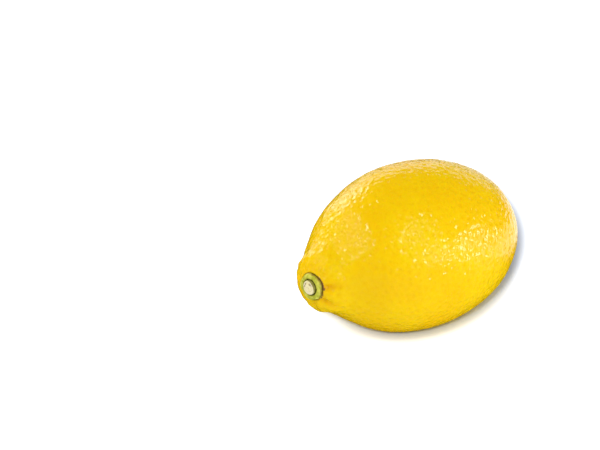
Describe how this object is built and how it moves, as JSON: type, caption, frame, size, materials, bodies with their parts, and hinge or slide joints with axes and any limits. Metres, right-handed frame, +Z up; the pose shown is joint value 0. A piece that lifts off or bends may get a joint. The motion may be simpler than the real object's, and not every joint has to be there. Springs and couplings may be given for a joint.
{
  "type": "lemon",
  "caption": "Whole ripe lemon lying on its side, with a swollen neck, a green calyx and stub of cut stem at one end, and a small nipple at the other.",
  "frame": {"origin": "middle of the small flat spot that the fruit rests on", "axes": "+Z up; X along the fruit, the stem end at -X and the nipple at +X; Y across it"},
  "size_m": [0.0863, 0.0559, 0.055],
  "materials": {
    "peel": "waxy yellow citrus peel, fine oil-gland dimples, soft gloss",
    "calyx": "yellow-green plant tissue, dull, with a brown corky rim",
    "stem": "pale cut stem, dull, with faint rings"
  },
  "bodies": {
    "root": {"fruit": "peel", "calyx": "calyx", "stem_stub": "stem"}
  },
  "joints": []
}
